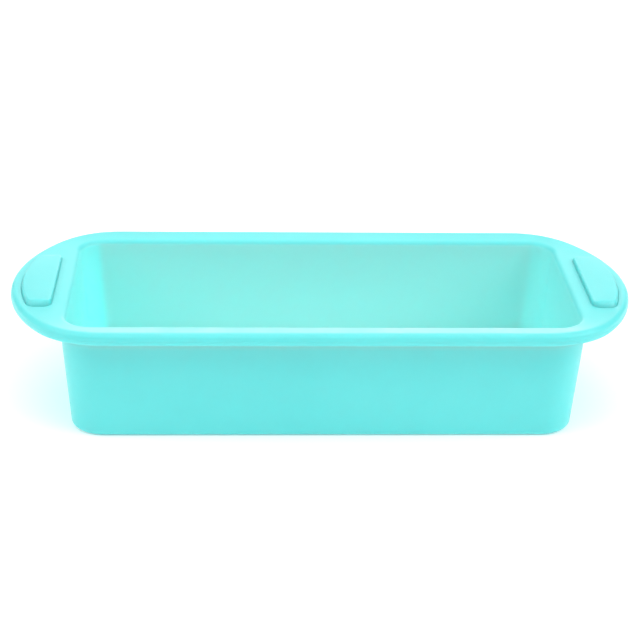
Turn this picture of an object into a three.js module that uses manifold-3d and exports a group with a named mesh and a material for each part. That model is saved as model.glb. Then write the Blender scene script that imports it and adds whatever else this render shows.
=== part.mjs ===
// A silicone loaf mould for soap: a drafted tub hung from a thick rim, which widens into a grip at each end.
// A steel wire hoop runs inside the rim, and a raised pad is set into each grip.
// Millimetres, +Z up. The origin is the centre of the base, and +X runs along the mould's length.

import * as THREE from "three";
import { mergeVertices } from "three/addons/utils/BufferGeometryUtils.js";
import Module from "manifold-3d";

const wasm = await Module();
wasm.setup();

// ---------- Driving dimensions ----------

// The rim and its grips
const LENGTH = 290; // over both grips
const WIDTH = 127; // over the rim's straight sides
const HEIGHT = 56; // from the base to the rim's top
const RIM_THICKNESS = 6;
const RIM_RISE = 1; // the long sides' outer edges stand this much above the rim's inner edge
const GRIP_END_RADIUS = 80;
const GRIP_SHOULDER_RADIUS = 38;
const UPPER_EDGE_RADIUS = 2.8;
const LOWER_EDGE_RADIUS = 2;

// The tub
const OPENING_LENGTH = 233;
const OPENING_WIDTH = 102.5;
const CORNER_RADIUS = 12; // upright corners inside
const MOUTH_RADIUS = 2.5; // where the wall turns over into the rim
const WALL = 3.2;
const FLOOR = 3.5;
const DRAFT = THREE.MathUtils.degToRad(4);
const BASE_EDGE_RADIUS = 3;
const FLOOR_EDGE_RADIUS = 4;
const UNDER_RIM_FILLET = 1.5;

// The grip pads
const PAD_INNER_X = 124; // the straight side, which faces the tub
const PAD_OUTER_X = 140; // the middle of the curved side
const PAD_LENGTH = 60; // across the mould
const PAD_OUTER_RADIUS = 85;
const PAD_INNER_CORNER = 4;
const PAD_OUTER_CORNER = 5;
const PAD_PROUD = 2.4; // above the rim's top
const PAD_TOP_RADIUS = 1.6;
const PAD_SIDE_SLOPE = 0.4; // how far the sides lean in between the rim and the rounded top edge
const POCKET_DEPTH = 1;
const POCKET_GAP = 0.4; // around the pad
const POCKET_FLOOR_GAP = 0.3; // under the pad

// The wire hoop
const WIRE_RADIUS = 1.5;
const WIRE_INSET = 3.6; // its centreline, in from the rim's outer edge
const WIRE_DEPTH = 3.2; // its centreline, below the rim's top
const CHANNEL_RADIUS = 1.85;
const PIN_HOLE_RADIUS = 1.4; // left by the pins that hold the wire while the silicone is moulded
const PIN_HOLES_PER_SIDE = 4;
const PIN_HOLE_PITCH = 50;

// Fineness
const EDGE_STEPS = 3; // in a quarter-round edge
const CORNER_STEPS = 6; // in an upright corner of the tub
const SHOULDER_STEPS = 8; // in a grip's shoulder
const GRIP_END_STEPS = 14; // in a grip's wide end
const PAD_CORNER_STEPS = 4;
const PAD_BOW_STEPS = 8; // in a pad's curved side
const WIRE_SIDES = 10;
const PIN_HOLE_SIDES = 12;
const MERGE_TOLERANCE = 1e-4;
const OVERRUN = 1; // how far a cut or a join reaches past the surface it meets

const RIM_WIDTH = (WIDTH - OPENING_WIDTH) / 2;
const UNDERSIDE_Z = HEIGHT - RIM_THICKNESS;
const QUARTER = Math.PI / 2;

// ---------- Outlines ----------

// The points of one arc, each with the direction that faces out of the outline there.
function arc(x, y, radius, from, to, steps) {
  return Array.from({ length: steps + 1 }, (_, i) => {
    const angle = from + ((to - from) * i) / steps;
    const nx = Math.cos(angle);
    const ny = Math.sin(angle);
    return { x: x + radius * nx, y: y + radius * ny, nx, ny };
  });
}

// The same outline turned half round, for the other end of the mould.
function halfTurn(outline) {
  return outline.map(({ x, y, nx, ny }) => ({ x: -x, y: -y, nx: -nx, ny: -ny }));
}

// A rectangle with rounded corners, anticlockwise from the middle of the +X side.
function roundedRectangle(halfLength, halfWidth, radius) {
  const x = halfLength - radius;
  const y = halfWidth - radius;
  const end = [
    ...arc(x, -y, radius, -QUARTER, 0, CORNER_STEPS),
    ...arc(x, y, radius, 0, QUARTER, CORNER_STEPS),
  ];
  return [...end, ...halfTurn(end)];
}

// The rim seen from above: straight long sides, and at each end a wide arc between two shoulders.
function rimOutline() {
  const endX = LENGTH / 2 - GRIP_END_RADIUS;
  const shoulderY = WIDTH / 2 - GRIP_SHOULDER_RADIUS;
  const reach = GRIP_END_RADIUS - GRIP_SHOULDER_RADIUS;
  const shoulderX = endX + Math.sqrt(reach ** 2 - shoulderY ** 2);
  const meet = Math.atan2(shoulderY, shoulderX - endX);
  const end = [
    ...arc(shoulderX, -shoulderY, GRIP_SHOULDER_RADIUS, -QUARTER, -meet, SHOULDER_STEPS),
    ...arc(endX, 0, GRIP_END_RADIUS, -meet, meet, GRIP_END_STEPS).slice(1, -1),
    ...arc(shoulderX, shoulderY, GRIP_SHOULDER_RADIUS, meet, QUARTER, SHOULDER_STEPS),
  ];
  return [...end, ...halfTurn(end)];
}

// One grip pad seen from above, at the +X end: a straight inner side, blunt ends and a bowed outer side.
function padOutline() {
  const bowX = PAD_OUTER_X - PAD_OUTER_RADIUS;
  const halfLength = PAD_LENGTH / 2;
  const outerY = halfLength - PAD_OUTER_CORNER;
  const outerX = bowX + Math.sqrt((PAD_OUTER_RADIUS - PAD_OUTER_CORNER) ** 2 - outerY ** 2);
  const meet = Math.atan2(outerY, outerX - bowX);
  const innerX = PAD_INNER_X + PAD_INNER_CORNER;
  const innerY = halfLength - PAD_INNER_CORNER;
  return [
    ...arc(outerX, -outerY, PAD_OUTER_CORNER, -QUARTER, -meet, PAD_CORNER_STEPS),
    ...arc(bowX, 0, PAD_OUTER_RADIUS, -meet, meet, PAD_BOW_STEPS).slice(1, -1),
    ...arc(outerX, outerY, PAD_OUTER_CORNER, meet, QUARTER, PAD_CORNER_STEPS),
    ...arc(innerX, innerY, PAD_INNER_CORNER, QUARTER, 2 * QUARTER, PAD_CORNER_STEPS),
    ...arc(innerX, -innerY, PAD_INNER_CORNER, 2 * QUARTER, 3 * QUARTER, PAD_CORNER_STEPS),
  ];
}

// ---------- Solids from outlines ----------

// An outline grown by offset and lifted to height z.
// The rise lifts the points on the long sides only, and fades out round the grips.
function ring(outline, offset, z, rise = 0) {
  return outline.map(
    ({ x, y, nx, ny }) => new THREE.Vector3(x + nx * offset, y + ny * offset, z + rise * ny ** 2),
  );
}

// Skins a stack of rings, each with the same number of points. The first and last ring get flat caps,
// or with closed set they join each other, as in a hoop.
function skin(rings, closed = false) {
  const count = rings[0].length;
  const points = rings.flat();
  const index = [];
  const quad = (a, b, c, d) => index.push(a, b, c, a, c, d);
  rings.forEach((_, level) => {
    const next = (level + 1) % rings.length;
    if (next === 0 && !closed) return;
    for (let i = 0; i < count; i++) {
      const j = (i + 1) % count;
      quad(level * count + i, level * count + j, next * count + j, next * count + i);
    }
  });
  if (!closed) {
    const top = (rings.length - 1) * count;
    for (const [start, flip] of [[0, true], [top, false]]) {
      const centre = points.length;
      points.push(
        points
          .slice(start, start + count)
          .reduce((sum, point) => sum.add(point), new THREE.Vector3())
          .divideScalar(count),
      );
      for (let i = 0; i < count; i++) {
        const a = start + i;
        const b = start + ((i + 1) % count);
        index.push(centre, flip ? b : a, flip ? a : b);
      }
    }
  }
  return new THREE.BufferGeometry().setFromPoints(points).setIndex(index);
}

// The [offset, height] pairs along a quarter-round edge centred on the offset and height given.
function quarterRound(offset, z, radius, from, to) {
  return arc(offset, z, radius, from, to, EDGE_STEPS).map(({ x, y }) => [x, y]);
}

function toSolid(geometry) {
  const plain = geometry.clone();
  plain.deleteAttribute("normal");
  plain.deleteAttribute("uv");
  const merged = mergeVertices(plain, MERGE_TOLERANCE);
  return new wasm.Manifold(
    new wasm.Mesh({
      numProp: 3,
      vertProperties: merged.attributes.position.array,
      triVerts: new Uint32Array(merged.index.array),
    }),
  );
}

function toGeometry(solid) {
  const { vertProperties, triVerts } = solid.getMesh();
  const geometry = new THREE.BufferGeometry();
  geometry.setAttribute("position", new THREE.BufferAttribute(vertProperties, 3));
  geometry.setIndex(new THREE.BufferAttribute(triVerts, 1));
  geometry.computeVertexNormals();
  return geometry;
}

// ---------- The mould body ----------

// The tub's section at height z, grown by offset. The walls lean out towards the mouth.
function tubRing(z, offset) {
  const lean = (HEIGHT - z) * Math.tan(DRAFT);
  const outline = roundedRectangle(
    OPENING_LENGTH / 2 - lean,
    OPENING_WIDTH / 2 - lean,
    CORNER_RADIUS,
  );
  return ring(outline, offset, z);
}

// The rim as a solid plate with a rounded outer edge, which the rise turns up along the long sides.
function rimPlate() {
  const outline = rimOutline();
  const lowerZ = UNDERSIDE_Z + LOWER_EDGE_RADIUS;
  const upperZ = HEIGHT - UPPER_EDGE_RADIUS;
  const outerEdge = [
    ...quarterRound(-LOWER_EDGE_RADIUS, lowerZ, LOWER_EDGE_RADIUS, -QUARTER, 0),
    ...quarterRound(-UPPER_EDGE_RADIUS, upperZ, UPPER_EDGE_RADIUS, 0, QUARTER),
  ];
  return toSolid(
    skin([
      ring(outline, WALL + UNDER_RIM_FILLET - RIM_WIDTH, UNDERSIDE_Z),
      ...outerEdge.map(([offset, z]) => ring(outline, offset, z, RIM_RISE)),
      ring(outline, MOUTH_RADIUS - RIM_WIDTH, HEIGHT),
    ]),
  );
}

// The tub's outside, from its rounded base edge up to a fillet under the rim, and on into the rim.
function tubOutside() {
  const filletOffset = WALL + UNDER_RIM_FILLET;
  const filletZ = UNDERSIDE_Z - UNDER_RIM_FILLET;
  const profile = [
    ...quarterRound(WALL - BASE_EDGE_RADIUS, BASE_EDGE_RADIUS, BASE_EDGE_RADIUS, -QUARTER, 0),
    ...quarterRound(filletOffset, filletZ, UNDER_RIM_FILLET, 2 * QUARTER, QUARTER),
    [filletOffset, UNDERSIDE_Z + OVERRUN],
  ];
  return toSolid(skin(profile.map(([offset, z]) => tubRing(z, offset))));
}

// The space for the soap, from its rounded floor edge up to a mouth that flares into the rim's top.
function cavity() {
  const floorEdgeZ = FLOOR + FLOOR_EDGE_RADIUS;
  const profile = [
    ...quarterRound(-FLOOR_EDGE_RADIUS, floorEdgeZ, FLOOR_EDGE_RADIUS, -QUARTER, 0),
    ...quarterRound(MOUTH_RADIUS, HEIGHT - MOUTH_RADIUS, MOUTH_RADIUS, 2 * QUARTER, QUARTER),
    [MOUTH_RADIUS, HEIGHT + OVERRUN],
  ];
  return toSolid(skin(profile.map(([offset, z]) => tubRing(z, offset))));
}

// The shallow pocket that seats one pad.
function padPocket(outline) {
  return toSolid(
    skin([
      ring(outline, POCKET_GAP, HEIGHT - POCKET_DEPTH),
      ring(outline, POCKET_GAP, HEIGHT + OVERRUN),
    ]),
  );
}

// A hoop of round section that follows the rim, used for the wire and for the channel around it.
function rimHoop(radius) {
  const outline = rimOutline();
  const section = arc(-WIRE_INSET, HEIGHT - WIRE_DEPTH, radius, 0, 4 * QUARTER, WIRE_SIDES);
  const rings = section.slice(1).map(({ x, y }) => ring(outline, x, y, RIM_RISE));
  return skin(rings, true);
}

// An upright hole from the rim's underside to the wire's centreline.
function pinHole(x, y) {
  const length = RIM_THICKNESS - WIRE_DEPTH + OVERRUN;
  const hole = new THREE.CylinderGeometry(PIN_HOLE_RADIUS, PIN_HOLE_RADIUS, length, PIN_HOLE_SIDES);
  hole.rotateX(QUARTER);
  hole.translate(x, y, UNDERSIDE_Z - OVERRUN + length / 2);
  return toSolid(hole);
}

// Pin holes are spaced along both long sides, with one more at the end of each grip.
function pinHoles() {
  const sideY = WIDTH / 2 - WIRE_INSET;
  const endX = LENGTH / 2 - WIRE_INSET;
  const holes = [];
  for (const side of [-1, 1]) {
    for (let i = 0; i < PIN_HOLES_PER_SIDE; i++) {
      const x = (i - (PIN_HOLES_PER_SIDE - 1) / 2) * PIN_HOLE_PITCH;
      holes.push(pinHole(x, side * sideY));
    }
    holes.push(pinHole(side * endX, 0));
  }
  return holes;
}

function mouldBody() {
  const pad = padOutline();
  const cuts = [
    cavity(),
    padPocket(pad),
    padPocket(halfTurn(pad)),
    toSolid(rimHoop(CHANNEL_RADIUS)),
    ...pinHoles(),
  ];
  return toGeometry(cuts.reduce((body, cut) => body.subtract(cut), rimPlate().add(tubOutside())));
}

// ---------- The grip pads ----------

function gripPad(outline) {
  const top = HEIGHT + PAD_PROUD;
  const profile = [
    [0, HEIGHT - POCKET_DEPTH + POCKET_FLOOR_GAP],
    [0, HEIGHT],
    ...quarterRound(-PAD_SIDE_SLOPE - PAD_TOP_RADIUS, top - PAD_TOP_RADIUS, PAD_TOP_RADIUS, 0, QUARTER),
  ];
  return skin(profile.map(([offset, z]) => ring(outline, offset, z)));
}

// ---------- The assembly ----------

const silicone = new THREE.MeshStandardMaterial({ color: 0x72e8e6, roughness: 0.5, metalness: 0 });
const steel = new THREE.MeshStandardMaterial({ color: 0xb8bcc0, roughness: 0.35, metalness: 1 });

function named(name, geometry, material) {
  const mesh = new THREE.Mesh(geometry, material);
  mesh.name = name;
  return mesh;
}

const mould = new THREE.Group();
mould.add(
  named("mould_body", mouldBody(), silicone),
  named("rim_frame", rimHoop(WIRE_RADIUS), steel),
  named("right_grip_pad", gripPad(padOutline()), silicone),
  named("left_grip_pad", gripPad(halfTurn(padOutline())), silicone),
);

export default mould;
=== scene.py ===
"""A silicone loaf mould for soap, standing on a pale floor under soft studio light.

Shapes are worked out in millimetres and the meshes are made in metres, all in the CAD frame: the origin is
the centre of the base, +X runs along the mould towards the right-hand grip, and +Z is up.
"""

import math

import bpy
import numpy as np
from mathutils import Matrix, Vector
from mathutils.bvhtree import BVHTree


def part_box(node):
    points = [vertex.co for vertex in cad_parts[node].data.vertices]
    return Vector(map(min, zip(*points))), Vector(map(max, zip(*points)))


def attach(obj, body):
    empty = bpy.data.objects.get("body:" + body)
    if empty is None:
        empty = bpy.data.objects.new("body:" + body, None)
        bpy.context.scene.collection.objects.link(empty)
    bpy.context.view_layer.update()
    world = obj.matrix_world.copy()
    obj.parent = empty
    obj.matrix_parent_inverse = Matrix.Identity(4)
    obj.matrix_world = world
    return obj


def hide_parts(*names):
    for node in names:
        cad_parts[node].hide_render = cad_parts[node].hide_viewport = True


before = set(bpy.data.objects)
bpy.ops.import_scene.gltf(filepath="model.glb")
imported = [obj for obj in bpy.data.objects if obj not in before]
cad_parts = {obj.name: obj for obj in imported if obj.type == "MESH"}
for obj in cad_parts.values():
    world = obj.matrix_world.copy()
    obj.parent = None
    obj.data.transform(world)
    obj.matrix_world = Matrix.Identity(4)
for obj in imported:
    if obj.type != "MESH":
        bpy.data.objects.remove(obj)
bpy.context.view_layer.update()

MM = 0.001
QUARTER = math.pi / 2


def box_mm(node):
    """A CAD node's lowest and highest corners, in millimetres."""
    return [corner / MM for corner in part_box(node)]


# ---------- Sizes ----------

body_high = box_mm("mould_body")[1]
pad_low, pad_high = box_mm("right_grip_pad")
wire_high = box_mm("rim_frame")[1]

# The rim and its grips
HALF_LENGTH = body_high.x
HALF_WIDTH = body_high.y
RIM_RISE = 1  # the long sides' outer edges stand this much above the rim's inner edge
RIM_TOP = body_high.z - RIM_RISE
RIM_THICKNESS = 6
UNDERSIDE = RIM_TOP - RIM_THICKNESS
GRIP_END_RADIUS = 80
GRIP_SHOULDER_RADIUS = 38
UPPER_EDGE_RADIUS = 2.4
LOWER_EDGE_RADIUS = 2
PARTING_LINE_WIDTH = 0.35  # the trimmed seam round the rim's outer face, where the two tool halves met
PARTING_LINE_PROUD = 0.12

# The tub
HALF_OPENING_LENGTH = 116.5
HALF_OPENING_WIDTH = 51.25
CORNER_RADIUS = 12
MOUTH_RADIUS = 2.5
WALL = 3.2
FLOOR = 3.5
DRAFT = math.radians(4)
BASE_EDGE_RADIUS = 3
FLOOR_EDGE_RADIUS = 4
UNDER_RIM_FILLET = 1.5

# The grip pads and their pockets
PAD_OUTER_RADIUS = 85
PAD_INNER_CORNER = 4
PAD_OUTER_CORNER = 5
PAD_TOP_RADIUS = 0.8
PAD_INNER_SLOPE = 0.2  # how far the pad's inner side leans in on its way up
PAD_OUTER_SLOPE = 0.6  # and how far its outer side does
PAD_END_SLOPE = 2.4  # and its two ends
PAD_FOOT_RADIUS = 0.3
PAD_CROWN = 0.3
POCKET_DEPTH = 1
POCKET_GAP = 0.06
POCKET_END_GAP = 0.7  # the pocket is a little longer than the pad
POCKET_LIP_RADIUS = 0.15

# The wire hoop and the holes of the pins that held it in the moulding tool
WIRE_RADIUS = 1.5
WIRE_INSET = HALF_LENGTH - wire_high.x + WIRE_RADIUS
WIRE_DEPTH = 3.2
CHANNEL_RADIUS = 1.85
WELD_SWELL = 0.2  # the butt weld that closes the hoop
WELD_LENGTH = 2
PIN_HOLE_RADIUS = 1.4
PIN_HOLE_LIP = 0.4
PIN_HOLES_PER_SIDE = 4
PIN_HOLE_PITCH = 50

# Fineness
CORNER_STEPS = 16  # in an upright corner of the tub
END_STEPS = 32  # across the tub's ends
SIDE_STEPS = 56  # along the tub's long sides
EDGE_STEPS = 8  # in a rounded edge
WALL_STEPS = 12
SHELF_STEPS = 8  # across the rim's top and underside
PAD_CORNER_STEPS = 8
PAD_SIDE_STEPS = 28
PAD_END_STEPS = 4
PAD_FOOT_STEPS = 3
POCKET_LIP_STEPS = 5
WIRE_SIDES = 20
HOLE_SIDES = 24
PIN_HOLE_LIP_STEPS = 4
RIM_STEPS = 240  # in each stretch of the rim's outline, before it is matched to the tub's mouth
SHARP_ANGLE = math.radians(35)  # edges left by a cut that are sharper than this aren't smoothed

# Cutters
OVERRUN = 1  # how far a cutter reaches past the surface that it cuts
LIP_TURN = 0.7 * QUARTER  # a flared lip stops short of lying flat on that surface

# ---------- Outlines seen from above ----------


def arc(x, y, radius, start, end, steps):
    """Points of an arc. Each row is x, y and the direction that faces outwards there."""
    angle = np.linspace(start, end, steps + 1)
    facing = np.column_stack([np.cos(angle), np.sin(angle)])
    return np.hstack([(x, y) + radius * facing, facing])


def line(start, end, steps):
    """Points between the two ends of a straight stretch that runs anticlockwise round an outline."""
    along = np.subtract(end, start)
    share = np.linspace(0, 1, steps + 1)[1:-1, None]
    facing = np.array([along[1], -along[0]]) / np.hypot(*along)
    return np.hstack([start + share * along, np.tile(facing, (steps - 1, 1))])


def rounded_rectangle(half_length, half_width, radius):
    """Anticlockwise from the corner at +X and -Y, with the same number of points whatever the size."""
    x, y = half_length - radius, half_width - radius
    half = np.vstack(
        [
            arc(x, -y, radius, -QUARTER, 0, CORNER_STEPS),
            line((half_length, -y), (half_length, y), END_STEPS),
            arc(x, y, radius, 0, QUARTER, CORNER_STEPS),
            line((x, half_width), (-x, half_width), SIDE_STEPS),
        ]
    )
    return np.vstack([half, -half])


def tub_outline(z):
    """The tub's inner wall at height z."""
    lean = (RIM_TOP - z) * math.tan(DRAFT)
    return rounded_rectangle(HALF_OPENING_LENGTH - lean, HALF_OPENING_WIDTH - lean, CORNER_RADIUS)


def rim_outline():
    """The rim's outer edge, with one point straight out from each point of the tub's mouth.

    Along the middle of the mould straight out is sideways. Towards each end it fans out round a pole.
    """
    pole = 60
    end_x = HALF_LENGTH - GRIP_END_RADIUS
    shoulder_y = HALF_WIDTH - GRIP_SHOULDER_RADIUS
    shoulder_x = end_x + math.sqrt((GRIP_END_RADIUS - GRIP_SHOULDER_RADIUS) ** 2 - shoulder_y**2)
    meet = math.atan2(shoulder_y, shoulder_x - end_x)
    end = np.vstack(
        [
            line((pole, -HALF_WIDTH), (shoulder_x, -HALF_WIDTH), RIM_STEPS),
            arc(shoulder_x, -shoulder_y, GRIP_SHOULDER_RADIUS, -QUARTER, -meet, RIM_STEPS),
            arc(end_x, 0, GRIP_END_RADIUS, -meet, meet, RIM_STEPS)[1:-1],
            arc(shoulder_x, shoulder_y, GRIP_SHOULDER_RADIUS, meet, QUARTER, RIM_STEPS),
            line((shoulder_x, HALF_WIDTH), (pole, HALF_WIDTH), RIM_STEPS),
        ]
    )
    mouth = tub_outline(RIM_TOP)
    turn = np.where(mouth[:, :1] < 0, -1, 1)
    mouth = mouth * turn
    bearing = np.arctan2(mouth[:, 1], mouth[:, 0] - pole)
    end_bearing = np.arctan2(end[:, 1], end[:, 0] - pole)
    fan = np.column_stack([np.interp(bearing, end_bearing, column) for column in end.T])
    side = np.sign(mouth[:, 1])
    straight = np.column_stack([mouth[:, 0], side * HALF_WIDTH, 0 * side, side])
    return turn * np.where(mouth[:, :1] > pole, fan, straight)


def pad_outline():
    """The right-hand grip pad: a straight inner side, blunt ends and a bowed outer side."""
    bow_x = pad_high.x - PAD_OUTER_RADIUS
    half_length = pad_high.y
    outer_y = half_length - PAD_OUTER_CORNER
    outer_x = bow_x + math.sqrt((PAD_OUTER_RADIUS - PAD_OUTER_CORNER) ** 2 - outer_y**2)
    meet = math.atan2(outer_y, outer_x - bow_x)
    inner_x = pad_low.x + PAD_INNER_CORNER
    inner_y = half_length - PAD_INNER_CORNER
    return np.vstack(
        [
            arc(outer_x, -outer_y, PAD_OUTER_CORNER, -QUARTER, -meet, PAD_CORNER_STEPS),
            arc(bow_x, 0, PAD_OUTER_RADIUS, -meet, meet, PAD_SIDE_STEPS)[1:-1],
            arc(outer_x, outer_y, PAD_OUTER_CORNER, meet, QUARTER, PAD_CORNER_STEPS),
            line((outer_x, half_length), (inner_x, half_length), PAD_END_STEPS),
            arc(inner_x, inner_y, PAD_INNER_CORNER, QUARTER, 2 * QUARTER, PAD_CORNER_STEPS),
            line((pad_low.x, inner_y), (pad_low.x, -inner_y), PAD_SIDE_STEPS),
            arc(inner_x, -inner_y, PAD_INNER_CORNER, 2 * QUARTER, 3 * QUARTER, PAD_CORNER_STEPS),
            line((inner_x, -half_length), (outer_x, -half_length), PAD_END_STEPS),
        ]
    )


# ---------- Meshes from outlines ----------


def ring(outline, offset, z):
    """An outline grown by offset and set at height z. Either may differ from point to point."""
    x, y, nx, ny = outline.T
    return np.column_stack([x + nx * offset, y + ny * offset, np.broadcast_to(z, x.shape)])


def turn_of(offset, z, radius, start, end, steps=EDGE_STEPS):
    """The offsets and heights along a rounded edge centred on the offset and height given."""
    return [
        (offset + radius * np.cos(angle), z + radius * np.sin(angle))
        for angle in np.linspace(start, end, steps + 1)
    ]


def between(start, end, steps):
    """Evenly spaced steps from start to end, without the two ends."""
    return [start + (end - start) * i / steps for i in range(1, steps)]


class Shell:
    """A closed mesh in the making: bands of quads through rings of points, and patches that close them."""

    def __init__(self):
        self.points = np.empty((0, 3))
        self.faces = []

    def add(self, points):
        first = len(self.points)
        self.points = np.vstack([self.points, points])
        return np.arange(first, len(self.points))

    def band(self, lower, upper):
        quads = np.column_stack([lower, np.roll(lower, -1), np.roll(upper, -1), upper])
        self.faces += quads.tolist()

    def skin(self, rings, closed=False):
        """Joins each ring to the next, and with closed set the last to the first."""
        numbers = [self.add(points) for points in rings]
        for lower, upper in zip(numbers, numbers[1:]):
            self.band(lower, upper)
        if closed:
            self.band(numbers[-1], numbers[0])
        return numbers[0], numbers[-1]

    def patch(self, edge, first, across, upwards, crown=0):
        """Fills a ring with a grid of quads.

        The ring's first side starts at its point number first and has across steps, as does the side
        opposite. The other two sides share what is left. The crown lifts the grid's middle.
        """
        edge = np.roll(edge, -first)
        along = len(edge) // 2 - across
        grid = np.zeros((across + 1, along + 1), int)
        grid[:, 0] = edge[: across + 1]
        grid[across, :] = edge[across : across + along + 1]
        grid[::-1, along] = edge[across + along : 2 * across + along + 1]
        grid[0, ::-1] = np.append(edge[2 * across + along :], edge[0])
        place = np.zeros((across + 1, along + 1, 3))
        for border in np.s_[:, 0], np.s_[across, :], np.s_[:, along], np.s_[0, :]:
            place[border] = self.points[grid[border]]
        u = np.linspace(0, 1, across + 1)[:, None, None]
        v = np.linspace(0, 1, along + 1)[None, :, None]
        filled = (1 - v) * place[:, :1] + v * place[:, -1:] + (1 - u) * place[:1] + u * place[-1:]
        filled -= (1 - u) * ((1 - v) * place[:1, :1] + v * place[:1, -1:])
        filled -= u * ((1 - v) * place[-1:, :1] + v * place[-1:, -1:])
        filled[..., 2] += crown * (16 * u * (1 - u) * v * (1 - v))[..., 0]
        inner = self.add(filled[1:-1, 1:-1].reshape(-1, 3))
        grid[1:-1, 1:-1] = inner.reshape(across - 1, along - 1)
        corners = [grid[:-1, :-1], grid[1:, :-1], grid[1:, 1:], grid[:-1, 1:]]
        quads = np.stack(corners, axis=-1).reshape(-1, 4)
        self.faces += (quads if upwards else quads[:, ::-1]).tolist()

    def make(self, name):
        mesh = bpy.data.meshes.new(name)
        mesh.from_pydata((self.points * MM).tolist(), [], self.faces)
        mesh.shade_smooth()
        piece = bpy.data.objects.new(name, mesh)
        bpy.context.scene.collection.objects.link(piece)
        return piece


def cut_away(piece, cutters):
    """Cuts the cutters out of a piece for good, and removes them."""
    group = bpy.data.collections.new("cutters")
    for cutter in cutters:
        group.objects.link(cutter)
    cut = piece.modifiers.new("cut", "BOOLEAN")
    cut.operation = "DIFFERENCE"
    cut.solver = "EXACT"
    cut.operand_type = "COLLECTION"
    cut.collection = group
    depsgraph = bpy.context.evaluated_depsgraph_get()
    mesh = bpy.data.meshes.new_from_object(piece.evaluated_get(depsgraph))
    piece.modifiers.clear()
    piece.data = mesh
    mesh.name = piece.name
    mesh.shade_smooth()
    mesh.set_sharp_from_angle(angle=SHARP_ANGLE)
    for cutter in cutters:
        bpy.data.objects.remove(cutter)
    bpy.data.collections.remove(group)


# ---------- The silicone body ----------


def rim_rise(outline):
    """How far each point of the rim's outer edge is lifted: fully along the long sides, not at the ends."""
    return RIM_RISE * outline[:, 3] ** 2


def tub_ring(offset, z):
    return ring(tub_outline(np.mean(z)), offset, z)


def rim_edge(rim, rise, tilt):
    """The rings over the rim's outer edge, from the underside to the top."""
    lower_z = UNDERSIDE + LOWER_EDGE_RADIUS
    upper_z = RIM_TOP - UPPER_EDGE_RADIUS
    seam_z = (lower_z + upper_z) / 2
    half_seam = PARTING_LINE_WIDTH / 2
    seam = [(0, seam_z - half_seam), (PARTING_LINE_PROUD, seam_z), (0, seam_z + half_seam)]
    profile = [
        *turn_of(-LOWER_EDGE_RADIUS, lower_z, LOWER_EDGE_RADIUS, -QUARTER, 0),
        *seam,
        *turn_of(-UPPER_EDGE_RADIUS, upper_z, UPPER_EDGE_RADIUS, 0, QUARTER + tilt),
    ]
    return [ring(rim, offset, z + rise) for offset, z in profile]


def silicone_body():
    rim = rim_outline()
    rise = rim_rise(rim)
    shelf = ring(rim, -UPPER_EDGE_RADIUS, 0) - tub_ring(MOUTH_RADIUS, RIM_TOP)
    tilt = np.arctan(rise / np.hypot(shelf[:, 0], shelf[:, 1]))
    fillet_z = UNDERSIDE - UNDER_RIM_FILLET
    mouth_z = RIM_TOP - MOUTH_RADIUS
    floor_z = FLOOR + FLOOR_EDGE_RADIUS
    outside = [
        *turn_of(WALL - BASE_EDGE_RADIUS, BASE_EDGE_RADIUS, BASE_EDGE_RADIUS, -QUARTER, 0),
        *[(WALL, z) for z in between(BASE_EDGE_RADIUS, fillet_z, WALL_STEPS)],
        *turn_of(WALL + UNDER_RIM_FILLET, fillet_z, UNDER_RIM_FILLET, 2 * QUARTER, QUARTER),
    ]
    inside = [
        *turn_of(MOUTH_RADIUS, mouth_z, MOUTH_RADIUS, QUARTER + tilt, 2 * QUARTER),
        *[(0, z) for z in between(mouth_z, floor_z, WALL_STEPS)],
        *turn_of(-FLOOR_EDGE_RADIUS, floor_z, FLOOR_EDGE_RADIUS, 0, -QUARTER),
    ]
    tub_outside = [tub_ring(offset, z) for offset, z in outside]
    edge = rim_edge(rim, rise, tilt)
    tub_inside = [tub_ring(offset, z) for offset, z in inside]
    shell = Shell()
    base, floor = shell.skin(
        [
            *tub_outside,
            *between(tub_outside[-1], edge[0], SHELF_STEPS),
            *edge,
            *between(edge[-1], tub_inside[0], SHELF_STEPS),
            *tub_inside,
        ]
    )
    for end, upwards in (base, False), (floor, True):
        shell.patch(end, CORNER_STEPS // 2, CORNER_STEPS + END_STEPS, upwards)
    return shell.make("silicone_body")


def sides_to_ends(outline, side, end):
    """A measure that is side where the outline faces along the mould, and end where it faces across it."""
    return side + (end - side) * outline[:, 3] ** 2


def pocket_cutter(outline):
    """The pocket that seats one pad, with a flared lip."""
    gap = sides_to_ends(outline, POCKET_GAP, POCKET_END_GAP)
    floor_z = RIM_TOP - POCKET_DEPTH
    lip_z = RIM_TOP - POCKET_LIP_RADIUS
    turn = 2 * QUARTER, 2 * QUARTER - LIP_TURN
    lip = turn_of(gap + POCKET_LIP_RADIUS, lip_z, POCKET_LIP_RADIUS, *turn, POCKET_LIP_STEPS)
    lip_offset, lip_top = lip[-1]
    profile = [(gap, floor_z), *lip, (lip_offset + OVERRUN, lip_top + OVERRUN)]
    shell = Shell()
    low, high = shell.skin([ring(outline, offset, z) for offset, z in profile])
    for end, upwards in (low, False), (high, True):
        shell.patch(end, PAD_CORNER_STEPS // 2, PAD_CORNER_STEPS + PAD_SIDE_STEPS, upwards)
    return shell.make("pocket")


def hoop(radius_at):
    """A hoop of round section inside the rim. Its radius may differ from point to point."""
    rim = rim_outline()
    rise = rim_rise(rim)
    rings = []
    for angle in np.linspace(0, 4 * QUARTER, WIRE_SIDES, endpoint=False):
        offset = -WIRE_INSET + radius_at * math.cos(angle)
        rings.append(ring(rim, offset, RIM_TOP - WIRE_DEPTH + rise + radius_at * math.sin(angle)))
    shell = Shell()
    shell.skin(rings, closed=True)
    return shell


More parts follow.
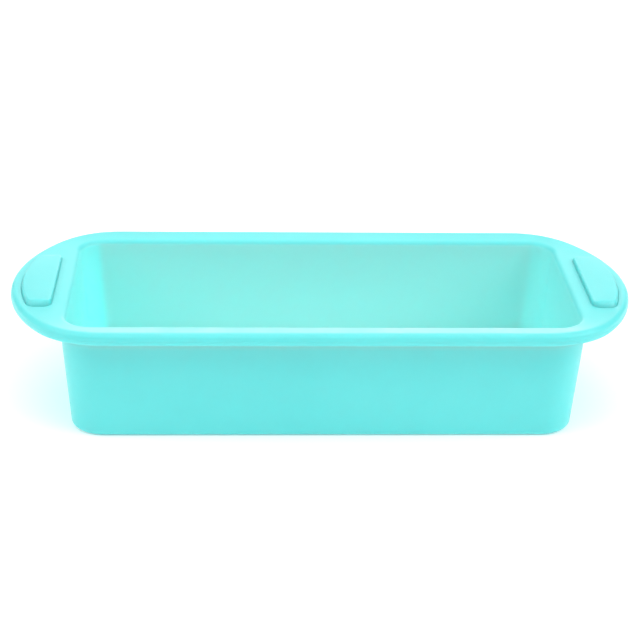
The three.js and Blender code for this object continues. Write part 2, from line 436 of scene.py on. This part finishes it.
def pin_hole_cutter(x, y, lip_z):
    """An upright hole from below the rim into the wire's channel, with a rounded lip at height lip_z."""
    mouth_radius = PIN_HOLE_RADIUS + PIN_HOLE_LIP
    turn = 2 * QUARTER + LIP_TURN, 2 * QUARTER
    lip = turn_of(mouth_radius, lip_z + PIN_HOLE_LIP, PIN_HOLE_LIP, *turn, PIN_HOLE_LIP_STEPS)
    profile = [(mouth_radius, lip_z - OVERRUN), *lip, (PIN_HOLE_RADIUS, RIM_TOP - WIRE_DEPTH)]
    shell = Shell()
    circle = arc(x, y, 0, 0, 4 * QUARTER, HOLE_SIDES)[1:]
    low, high = shell.skin([ring(circle, radius, z) for radius, z in profile])
    for end, upwards in (low, False), (high, True):
        shell.patch(end, 0, HOLE_SIDES // 4, upwards)
    return shell.make("pin_hole")


def pin_hole_cutters():
    """Pin holes are spaced along both long sides, with one more at the end of each grip."""
    side_y = HALF_WIDTH - WIRE_INSET
    end_x = HALF_LENGTH - WIRE_INSET
    inner_y = HALF_OPENING_WIDTH + WALL + UNDER_RIM_FILLET
    share = (side_y - inner_y) / (HALF_WIDTH - LOWER_EDGE_RADIUS - inner_y)
    cutters = []
    for side in -1, 1:
        for i in range(PIN_HOLES_PER_SIDE):
            x = (i - (PIN_HOLES_PER_SIDE - 1) / 2) * PIN_HOLE_PITCH
            cutters.append(pin_hole_cutter(x, side * side_y, UNDERSIDE + RIM_RISE * share))
        cutters.append(pin_hole_cutter(side * end_x, 0, UNDERSIDE))
    return cutters


# ---------- The grip pads ----------


def grip_pad(name, outline):
    faces_outwards = outline[:, 0].mean() * outline[:, 2] > 0
    side_slope = np.where(faces_outwards, PAD_OUTER_SLOPE, PAD_INNER_SLOPE)
    slope = sides_to_ends(outline, side_slope, PAD_END_SLOPE)
    foot_z = pad_low.z + PAD_FOOT_RADIUS
    edge_z = pad_high.z - PAD_CROWN - PAD_TOP_RADIUS
    lean = np.arctan(slope / (edge_z - RIM_TOP))
    profile = [
        *turn_of(-PAD_FOOT_RADIUS, foot_z, PAD_FOOT_RADIUS, -QUARTER, 0, PAD_FOOT_STEPS),
        (0, RIM_TOP),
        *turn_of(-slope - PAD_TOP_RADIUS, edge_z, PAD_TOP_RADIUS, lean, QUARTER),
    ]
    shell = Shell()
    low, high = shell.skin([ring(outline, offset, z) for offset, z in profile])
    side = PAD_CORNER_STEPS + PAD_SIDE_STEPS
    shell.patch(low, PAD_CORNER_STEPS // 2, side, upwards=False)
    shell.patch(high, PAD_CORNER_STEPS // 2, side, upwards=True, crown=PAD_CROWN)
    return shell.make(name)


# ---------- The wire hoop ----------


def wire_hoop():
    """The steel wire, with a butt weld at the back where its two ends meet."""
    rim = rim_outline()
    from_weld = np.abs(rim[:, 0]) / WELD_LENGTH
    swell = np.where(rim[:, 1] > 0, WELD_SWELL * np.exp(-(from_weld**2)), 0)
    return hoop(WIRE_RADIUS + swell).make("wire_hoop")


# ---------- Where the body is sheltered, and where it gets painted shade and painted light ---

# Painted shade covers the inside of the tub in a paler, greyer colour. Each range is where it starts and
# where it is full.
INSIDE_SHADE_DEPTH = (0.9, 2.4)  # below the rim's top
INSIDE_SHADE_WALL = (-WALL / 2, -WALL / 4)  # in from the tub's inner wall, and so negative inside the silicone
INSIDE_SHADE_FLOOR = (0.3 * FLOOR, 0.7 * FLOOR)  # above the base
END_WALL_LESS_SHADE = 0.45  # surfaces that face along the mould get this much less painted shade, inside the tub and in recesses

# Painted light: the insides of the end walls are coloured brighter, as if lit.
# In the photo's light the insides of the end walls glow, the left one more. A wall starts to glow where its
# normal turns this far towards the end, and glows fully at the second value.
END_GLOW_TURN = (0.1, 0.45)
LEFT_GLOW = 0.8
RIGHT_GLOW = 0.35

# A point is sheltered where rays from it soon meet the body again.
RECESS_REACH = 22
RECESS_RAYS = 32
RAY_START = 0.05  # off the surface, so that a ray doesn't meet the face that it leaves
GOLDEN_ANGLE = math.pi * (3 - math.sqrt(5))


def ramp(value, start, end):
    """Rises smoothly from 0 at start to 1 at end."""
    share = np.clip((value - start) / (end - start), 0, 1)
    return share * share * (3 - 2 * share)


def painted_inside_shade(points):
    """How much painted shade each point gets inside the tub: 0 outside the tub, up to 1 on its walls and
    floor.
    """
    lean = (RIM_TOP - points[:, 2:]) * math.tan(DRAFT)
    half = np.array([HALF_OPENING_LENGTH, HALF_OPENING_WIDTH]) - lean - CORNER_RADIUS
    past = np.abs(points[:, :2]) - half
    distance = np.hypot(*np.maximum(past, 0).T) + np.minimum(past.max(axis=1), 0) - CORNER_RADIUS
    inside = ramp(-distance, *INSIDE_SHADE_WALL) * ramp(points[:, 2], *INSIDE_SHADE_FLOOR)
    return inside * ramp(RIM_TOP - points[:, 2], *INSIDE_SHADE_DEPTH)


def shelter(mesh):
    """How much of the view from each point is blocked by the mesh itself within reach, from 0 to 1."""
    tree = BVHTree.FromPolygons(
        [vertex.co for vertex in mesh.vertices], [face.vertices for face in mesh.polygons]
    )
    steps = np.arange(RECESS_RAYS) + 0.5
    height = np.sqrt(1 - steps / RECESS_RAYS)
    turn = steps * GOLDEN_ANGLE
    spread = np.sqrt(1 - height**2)
    fan = np.column_stack([spread * np.cos(turn), spread * np.sin(turn), height])
    reach = RECESS_REACH * MM
    result = np.zeros(len(mesh.vertices))
    for i, vertex in enumerate(mesh.vertices):
        start = vertex.co + vertex.normal * RAY_START * MM
        rays = fan @ np.array(vertex.normal.to_track_quat("Z", "Y").to_matrix()).T
        for ray in rays:
            distance = tree.ray_cast(start, Vector(ray), reach)[3]
            if distance is not None:
                result[i] += 1 - distance / reach
    return result / RECESS_RAYS


def painted_end_light(inside_shade, facing):
    """How much painted light each point gets, given its painted inside shade and how far it faces towards
    +X.
    """
    left = LEFT_GLOW * ramp(facing, *END_GLOW_TURN)
    right = RIGHT_GLOW * ramp(-facing, *END_GLOW_TURN)
    return inside_shade * (left + right)


def mark_body(body):
    """Stores on the body's points their painted shade inside the tub, how sheltered they are, which drives
    painted shade in recesses, and their painted light on the end walls.
    """
    mesh = body.data
    points = np.array([vertex.co for vertex in mesh.vertices]) / MM
    facing = np.array([vertex.normal.x for vertex in mesh.vertices])
    remaining = 1 - END_WALL_LESS_SHADE * facing**2
    inside_shade = painted_inside_shade(points)
    marks = {
        "painted_inside_shade": remaining * inside_shade,
        "shelter": remaining * shelter(mesh),
        "painted_end_light": painted_end_light(inside_shade, facing),
    }
    for name, values in marks.items():
        mesh.attributes.new(name, "FLOAT", "POINT").data.foreach_set("value", values)


# ---------- Materials ----------

AQUA_DEEP = (0.142, 0.730, 0.728, 1)
AQUA_LIGHT = (0.154, 0.755, 0.753, 1)
# Painted shade: the paler colour inside the tub, the greyer one under overhangs and the warm grey in deep
# recesses. Painted light: the brighter colour on the insides of the end walls.
INSIDE_SHADE_COLOUR = (0.42, 0.85, 0.825, 1)
SHALLOW_SHADE_COLOUR = (0.39, 0.70, 0.68, 1)
DEEP_SHADE_COLOUR = (0.50, 0.50, 0.42, 1)
PAINTED_LIGHT_COLOUR = (0.27, 0.96, 0.94, 1)
STEEL_DULL = (0.55, 0.56, 0.57, 1)
STEEL_BRIGHT = (0.66, 0.67, 0.68, 1)
FLOOR_DULL = (0.92, 0.92, 0.92, 1)
FLOOR_BRIGHT = (0.95, 0.95, 0.95, 1)
FLOOR_GLOW = 0.22
BODY_LIGHT_DEPTH = 3  # how far light spreads in the silicone
PAD_LIGHT_DEPTH = 7


def set_inputs(node, tree, inputs):
    """Sets a node's sockets, given by name or number: to a value, or to another node's output."""
    for name, value in inputs.items():
        socket = node.inputs[name]
        if isinstance(value, bpy.types.NodeSocket):
            tree.links.new(value, socket)
        else:
            socket.default_value = value


def add_node(tree, kind, inputs=None, **settings):
    node = tree.nodes.new(kind)
    for name, value in settings.items():
        setattr(node, name, value)
    set_inputs(node, tree, inputs or {})
    return node


def new_material(name):
    """An empty principled material. Returns the material, its tree and its shader node."""
    material = bpy.data.materials.new(name)
    material.use_nodes = True
    return material, material.node_tree, material.node_tree.nodes["Principled BSDF"]


def noise(tree, place, scale, detail=3, roughness=0.5):
    inputs = {"Vector": place, "Scale": scale, "Detail": detail, "Roughness": roughness}
    return add_node(tree, "ShaderNodeTexNoise", inputs).outputs["Fac"]


def remap(tree, value, low, high, new_low, new_high):
    inputs = {"Value": value, "From Min": low, "From Max": high, "To Min": new_low, "To Max": new_high}
    return add_node(tree, "ShaderNodeMapRange", inputs).outputs["Result"]


def attribute(tree, name):
    return add_node(tree, "ShaderNodeAttribute", attribute_name=name).outputs["Fac"]


def bump(tree, height, strength, distance):
    inputs = {"Height": height, "Strength": strength, "Distance": distance * MM}
    return add_node(tree, "ShaderNodeBump", inputs).outputs["Normal"]


def mix_colour(tree, share, first, second):
    """Its sockets go by number, because the node has sockets of the same names for other kinds of value."""
    node = add_node(tree, "ShaderNodeMix", data_type="RGBA")
    set_inputs(node, tree, {0: share, 6: first, 7: second})
    return node.outputs[2]


def silicone(name, shift, light_depth):
    """Satin aqua silicone rubber. The shift moves the pattern, so that no two pieces share it."""
    material, tree, shader = new_material(name)
    coordinates = add_node(tree, "ShaderNodeTexCoord").outputs["Object"]
    inputs = {0: coordinates, 1: (shift, shift, shift)}
    place = add_node(tree, "ShaderNodeVectorMath", inputs).outputs["Vector"]
    pigment = remap(tree, noise(tree, place, 22), 0.3, 0.7, 0, 1)
    recess = attribute(tree, "shelter")
    # Painted shade: where the shelter is slight, as under the rim, the colour turns a little greyer.
    shallow_shade = remap(tree, recess, 0, 0.2, 0, 0.3)
    # Painted shade: in deep recesses, the tub's corners and the pads' creases, the colour turns a darker
    # warm grey.
    deep_shade = remap(tree, recess, 0.1, 0.5, 0, 0.75)
    colour = mix_colour(tree, pigment, AQUA_DEEP, AQUA_LIGHT)
    # Painted shade: the inside of the tub is coloured paler and greyer.
    colour = mix_colour(tree, attribute(tree, "painted_inside_shade"), colour, INSIDE_SHADE_COLOUR)
    colour = mix_colour(tree, shallow_shade, colour, SHALLOW_SHADE_COLOUR)
    colour = mix_colour(tree, deep_shade, colour, DEEP_SHADE_COLOUR)
    # Painted light: the insides of the end walls are coloured brighter, the left one more.
    colour = mix_colour(tree, attribute(tree, "painted_end_light"), colour, PAINTED_LIGHT_COLOUR)
    handling = remap(tree, noise(tree, place, 60, detail=4), 0.35, 0.7, 0.3, 0.38)
    grain = noise(tree, place, 2600, detail=2)
    set_inputs(
        shader,
        tree,
        {
            "Base Color": colour,
            "Roughness": handling,
            "Normal": bump(tree, grain, 0.35, 0.03),
            "IOR": 1.41,
            "Subsurface Weight": 0.6,
            "Subsurface Radius": (0.35, 1.0, 0.95),
            "Subsurface Scale": light_depth * MM,
        },
    )
    return material


def steel():
    """Drawn stainless wire: slightly tarnished, with fine die marks."""
    material, tree, shader = new_material("drawn_steel")
    coordinates = add_node(tree, "ShaderNodeTexCoord").outputs["Object"]
    tarnish = noise(tree, coordinates, 180, detail=4)
    marks = noise(tree, coordinates, 3000, detail=2)
    set_inputs(
        shader,
        tree,
        {
            "Base Color": mix_colour(tree, tarnish, STEEL_DULL, STEEL_BRIGHT),
            "Roughness": remap(tree, tarnish, 0.3, 0.7, 0.28, 0.42),
            "Normal": bump(tree, marks, 0.3, 0.02),
            "Metallic": 1,
        },
    )
    return material


def floor_material():
    """Pale and matt, and slightly luminous, so that it is nearly as white as the photo's background."""
    material, tree, shader = new_material("pale_floor")
    coordinates = add_node(tree, "ShaderNodeTexCoord").outputs["Object"]
    set_inputs(
        shader,
        tree,
        {
            "Base Color": mix_colour(tree, noise(tree, coordinates, 3), FLOOR_DULL, FLOOR_BRIGHT),
            "Roughness": 0.9,
            "Specular IOR Level": 0.2,
            "Emission Color": (1, 1, 1, 1),
            "Emission Strength": FLOOR_GLOW,
        },
    )
    return material


# ---------- The assembly ----------


def place_piece(piece, material, node):
    piece.data.materials.clear()
    piece.data.materials.append(material)
    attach(piece, "root")
    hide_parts(node)


def build_mould():
    right = pad_outline()
    left = -right
    body = silicone_body()
    channel = hoop(CHANNEL_RADIUS).make("channel")
    cut_away(body, [pocket_cutter(right), pocket_cutter(left), channel, *pin_hole_cutters()])
    right_pad = grip_pad("right_pad", right)
    left_pad = grip_pad("left_pad", left)
    mark_body(body)
    body_material = silicone("body_silicone", 0, BODY_LIGHT_DEPTH)
    right_material = silicone("right_pad_silicone", 3, PAD_LIGHT_DEPTH)
    left_material = silicone("left_pad_silicone", 7, PAD_LIGHT_DEPTH)
    place_piece(body, body_material, "mould_body")
    place_piece(right_pad, right_material, "right_grip_pad")
    place_piece(left_pad, left_material, "left_grip_pad")
    place_piece(wire_hoop(), steel(), "rim_frame")


# ---------- The studio ----------

FLOOR_HALF_SIZE = 4000

# The camera, from a fit to the outlines in the photo
TARGET = (-0.16, 0, 36.06)
AZIMUTH = math.radians(-2.83)
ELEVATION = math.radians(24)
ROLL = math.radians(1.26)
DISTANCE = 858.3
LENS = 101.36
SENSOR = 36
CLIP_END = 100  # metres

LIGHT_SHARPNESS = 14  # the higher, the smaller each glow
SOFT_LIGHTS = [  # azimuth (0 is in front, 90 to the right), elevation, strength
    (0, 72, 2.6),
    (70, 37, 4.7),
    (176, -8, 5.2),
    (180, 52, 2.2),
    (284, 37, 4),
]


def build_floor():
    shell = Shell()
    corners = [(-1, -1, 0), (1, -1, 0), (1, 1, 0), (-1, 1, 0)]
    shell.add(FLOOR_HALF_SIZE * np.array(corners))
    shell.faces.append([0, 1, 2, 3])
    floor = shell.make("floor")
    floor.data.materials.append(floor_material())


def build_camera():
    camera = bpy.data.objects.new("camera", bpy.data.cameras.new("camera"))
    bpy.context.scene.collection.objects.link(camera)
    camera.data.sensor_width = SENSOR
    camera.data.lens = LENS
    camera.data.clip_end = CLIP_END
    camera.matrix_world = (
        Matrix.Translation([value * MM for value in TARGET])
        @ Matrix.Rotation(AZIMUTH, 4, "Z")
        @ Matrix.Rotation(QUARTER - ELEVATION, 4, "X")
        @ Matrix.Rotation(ROLL, 4, "Z")
        @ Matrix.Translation((0, 0, DISTANCE * MM))
    )
    bpy.context.scene.camera = camera


def build_light():
    """Soft light from large, far-off sources: each glow fades with the angle from its middle."""
    scene = bpy.context.scene
    scene.view_settings.view_transform = "Standard"
    scene.world = bpy.data.worlds.new("studio")
    scene.world.use_nodes = True
    tree = scene.world.node_tree
    direction = add_node(tree, "ShaderNodeTexCoord").outputs["Generated"]
    total = 0
    for azimuth, elevation, strength in SOFT_LIGHTS:
        around = Matrix.Rotation(math.radians(azimuth), 3, "Z")
        upwards = Matrix.Rotation(-math.radians(elevation), 3, "X")
        inputs = {0: direction, 1: around @ upwards @ Vector((0, -1, 0))}
        facing = add_node(tree, "ShaderNodeVectorMath", inputs, operation="DOT_PRODUCT").outputs["Value"]
        inputs = {0: facing, 1: LIGHT_SHARPNESS, 2: math.log(strength) - LIGHT_SHARPNESS}
        power = add_node(tree, "ShaderNodeMath", inputs, operation="MULTIPLY_ADD").outputs[0]
        glow = add_node(tree, "ShaderNodeMath", {0: power}, operation="EXPONENT").outputs[0]
        total = add_node(tree, "ShaderNodeMath", {0: total, 1: glow}, operation="ADD").outputs[0]
    set_inputs(tree.nodes["Background"], tree, {"Color": (1, 1, 1, 1), "Strength": total})


build_camera()
build_mould()
build_floor()
build_light()
